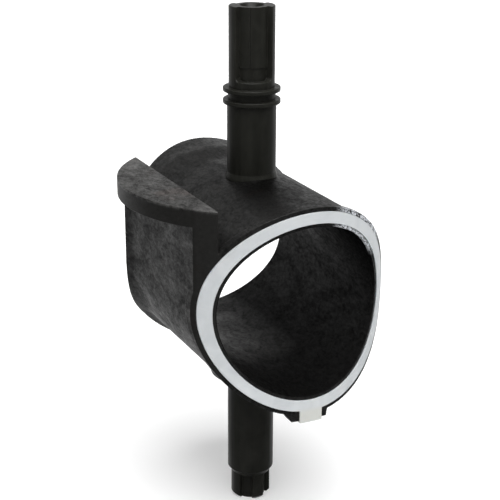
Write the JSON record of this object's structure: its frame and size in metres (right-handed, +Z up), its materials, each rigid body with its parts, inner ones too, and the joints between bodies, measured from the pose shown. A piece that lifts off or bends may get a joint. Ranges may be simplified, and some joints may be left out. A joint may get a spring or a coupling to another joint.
{
  "type": "diverter valve rotor",
  "caption": "Rotor of a rotary diverter valve: a short barrel with a saddle face seal, a side wing with a shelf, a grooved drive stem above and a splined stem below.",
  "frame": {"origin": "where the stem axis crosses the flow bore's axis, at the middle of the barrel", "axes": "+Z up along the stems, +Y along the flow bore from the sealed end to the open end, the wing on the -X side"},
  "size_m": [0.0712, 0.0801, 0.1566],
  "materials": {
    "drum_plastic": "black glass-filled moulding with faint grey flow marks",
    "stem_plastic": "smooth black moulding with a soft sheen",
    "seal_plastic": "smooth, slightly bluish white seal plastic",
    "backing_rubber": "black moulded elastomer"
  },
  "bodies": {
    "rotor": {"drum": "drum_plastic", "upper_stem": "stem_plastic", "lower_stem": "stem_plastic", "seal_backing_ring": "backing_rubber"},
    "seal": {"seal_ring": "seal_plastic"}
  },
  "joints": [
    {"name": "seal_float", "type": "slide", "parent": "rotor", "child": "seal", "axis": [0, 1, 0], "range_m": [0, 0.00035], "stiffness_N_per_m": 20000, "deforming": ["seal_backing_ring"]}
  ]
}
